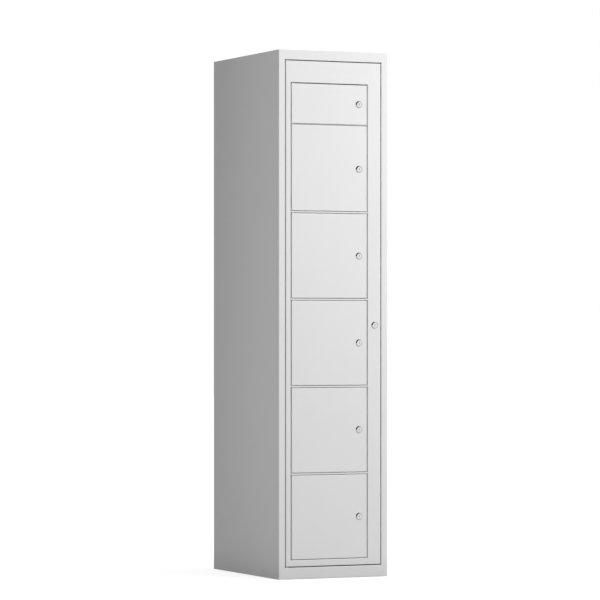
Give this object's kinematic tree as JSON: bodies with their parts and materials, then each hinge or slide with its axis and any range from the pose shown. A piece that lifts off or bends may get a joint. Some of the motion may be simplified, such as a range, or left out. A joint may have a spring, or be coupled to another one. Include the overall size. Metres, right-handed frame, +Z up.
{
  "type": "clothing dispensing locker",
  "caption": "Tall steel locker whose full-height service door holds a column of lockable compartment doors that hand out folded work clothes.",
  "frame": {"origin": "on the floor under the middle of the locker's box", "axes": "+Z up, -Y out of the front with the doors, +X to the right seen from the front"},
  "size_m": [0.42, 0.589, 1.85],
  "materials": {
    "cabinet_paint": "light grey powder coat, satin",
    "door_paint": "light grey powder coat, satin",
    "nickel": "bright nickel plate",
    "zinc": "bright zinc plate",
    "nylon": "black nylon"
  },
  "bodies": {
    "cabinet": {"left_side": "cabinet_paint", "right_side": "cabinet_paint", "top_rail": "cabinet_paint", "base_rail": "cabinet_paint", "top_tray": "cabinet_paint", "base_tray": "cabinet_paint", "back_panel": "cabinet_paint", "floor_panel": "cabinet_paint", "shelf_1": "cabinet_paint", "shelf_2": "cabinet_paint", "shelf_3": "cabinet_paint", "shelf_4": "cabinet_paint", "shelf_5": "cabinet_paint", "main_pins": "zinc"},
    "service_door": {"main_door": "door_paint", "divider": "door_paint", "crossbar_2": "door_paint", "crossbar_3": "door_paint", "crossbar_4": "door_paint", "crossbar_5": "door_paint", "door_stops": "door_paint", "door_pins": "zinc", "main_blocks": "nylon", "rod_guides": "nylon", "main_lock": "nickel"},
    "service_lock": {"main_plug": "nickel", "main_crank": "zinc", "main_arm": "zinc"},
    "upper_rod": {"upper_rod": "zinc"},
    "lower_rod": {"lower_rod": "zinc"},
    "compartment_door_1": {"door_1": "door_paint", "blocks_1": "nylon", "lock_1": "nickel"},
    "lock_cam_1": {"plug_1": "nickel", "cam_1": "zinc"},
    "compartment_door_2": {"door_2": "door_paint", "blocks_2": "nylon", "lock_2": "nickel"},
    "lock_cam_2": {"plug_2": "nickel", "cam_2": "zinc"},
    "compartment_door_3": {"door_3": "door_paint", "blocks_3": "nylon", "lock_3": "nickel"},
    "lock_cam_3": {"plug_3": "nickel", "cam_3": "zinc"},
    "compartment_door_4": {"door_4": "door_paint", "blocks_4": "nylon", "lock_4": "nickel"},
    "lock_cam_4": {"plug_4": "nickel", "cam_4": "zinc"},
    "compartment_door_5": {"door_5": "door_paint", "blocks_5": "nylon", "lock_5": "nickel"},
    "lock_cam_5": {"plug_5": "nickel", "cam_5": "zinc"},
    "compartment_door_6": {"door_6": "door_paint", "blocks_6": "nylon", "lock_6": "nickel"},
    "lock_cam_6": {"plug_6": "nickel", "cam_6": "zinc"}
  },
  "joints": [
    {"name": "service_door_swing", "type": "hinge", "parent": "cabinet", "child": "service_door", "pos_m": [-0.178, -0.287, 0.044], "axis": [0, 0, -1], "range_deg": [0, 100]},
    {"name": "service_lock_turn", "type": "hinge", "parent": "service_door", "child": "service_lock", "pos_m": [0.16, -0.2925, 0.888], "axis": [0, -1, 0], "range_deg": [0, 90]},
    {"name": "upper_rod_slide", "type": "slide", "parent": "service_door", "child": "upper_rod", "axis": [0, 0, 1], "range_m": [0, 0.01838]},
    {"name": "lower_rod_slide", "type": "slide", "parent": "service_door", "child": "lower_rod", "axis": [0, 0, -1], "range_m": [0, 0.01838]},
    {"name": "door_1_swing", "type": "hinge", "parent": "service_door", "child": "compartment_door_1", "pos_m": [-0.156, -0.288, 1.594], "axis": [0, 0, -1], "range_deg": [0, 100]},
    {"name": "lock_1_turn", "type": "hinge", "parent": "compartment_door_1", "child": "lock_cam_1", "pos_m": [0.099, -0.2925, 1.666], "axis": [0, -1, 0], "range_deg": [0, 90]},
    {"name": "door_2_swing", "type": "hinge", "parent": "service_door", "child": "compartment_door_2", "pos_m": [-0.156, -0.288, 1.28886], "axis": [0, 0, -1], "range_deg": [0, 100]},
    {"name": "lock_2_turn", "type": "hinge", "parent": "compartment_door_2", "child": "lock_cam_2", "pos_m": [0.099, -0.2925, 1.43786], "axis": [0, -1, 0], "range_deg": [0, 90]},
    {"name": "door_3_swing", "type": "hinge", "parent": "service_door", "child": "compartment_door_3", "pos_m": [-0.156, -0.288, 0.98302], "axis": [0, 0, -1], "range_deg": [0, 100]},
    {"name": "lock_3_turn", "type": "hinge", "parent": "compartment_door_3", "child": "lock_cam_3", "pos_m": [0.099, -0.2925, 1.13202], "axis": [0, -1, 0], "range_deg": [0, 90]},
    {"name": "door_4_swing", "type": "hinge", "parent": "service_door", "child": "compartment_door_4", "pos_m": [-0.156, -0.288, 0.67718], "axis": [0, 0, -1], "range_deg": [0, 100]},
    {"name": "lock_4_turn", "type": "hinge", "parent": "compartment_door_4", "child": "lock_cam_4", "pos_m": [0.099, -0.2925, 0.82618], "axis": [0, -1, 0], "range_deg": [0, 90]},
    {"name": "door_5_swing", "type": "hinge", "parent": "service_door", "child": "compartment_door_5", "pos_m": [-0.156, -0.288, 0.37134], "axis": [0, 0, -1], "range_deg": [0, 100]},
    {"name": "lock_5_turn", "type": "hinge", "parent": "compartment_door_5", "child": "lock_cam_5", "pos_m": [0.099, -0.2925, 0.52034], "axis": [0, -1, 0], "range_deg": [0, 90]},
    {"name": "door_6_swing", "type": "hinge", "parent": "service_door", "child": "compartment_door_6", "pos_m": [-0.156, -0.288, 0.0685], "axis": [0, 0, -1], "range_deg": [0, 100]},
    {"name": "lock_6_turn", "type": "hinge", "parent": "compartment_door_6", "child": "lock_cam_6", "pos_m": [0.099, -0.2925, 0.2145], "axis": [0, -1, 0], "range_deg": [0, 90]}
  ],
  "couplings": [
    {"joint": "service_lock_turn", "follows": "upper_rod_slide", "rad_per_m": 85.44},
    {"joint": "lower_rod_slide", "follows": "upper_rod_slide", "ratio": 1}
  ]
}
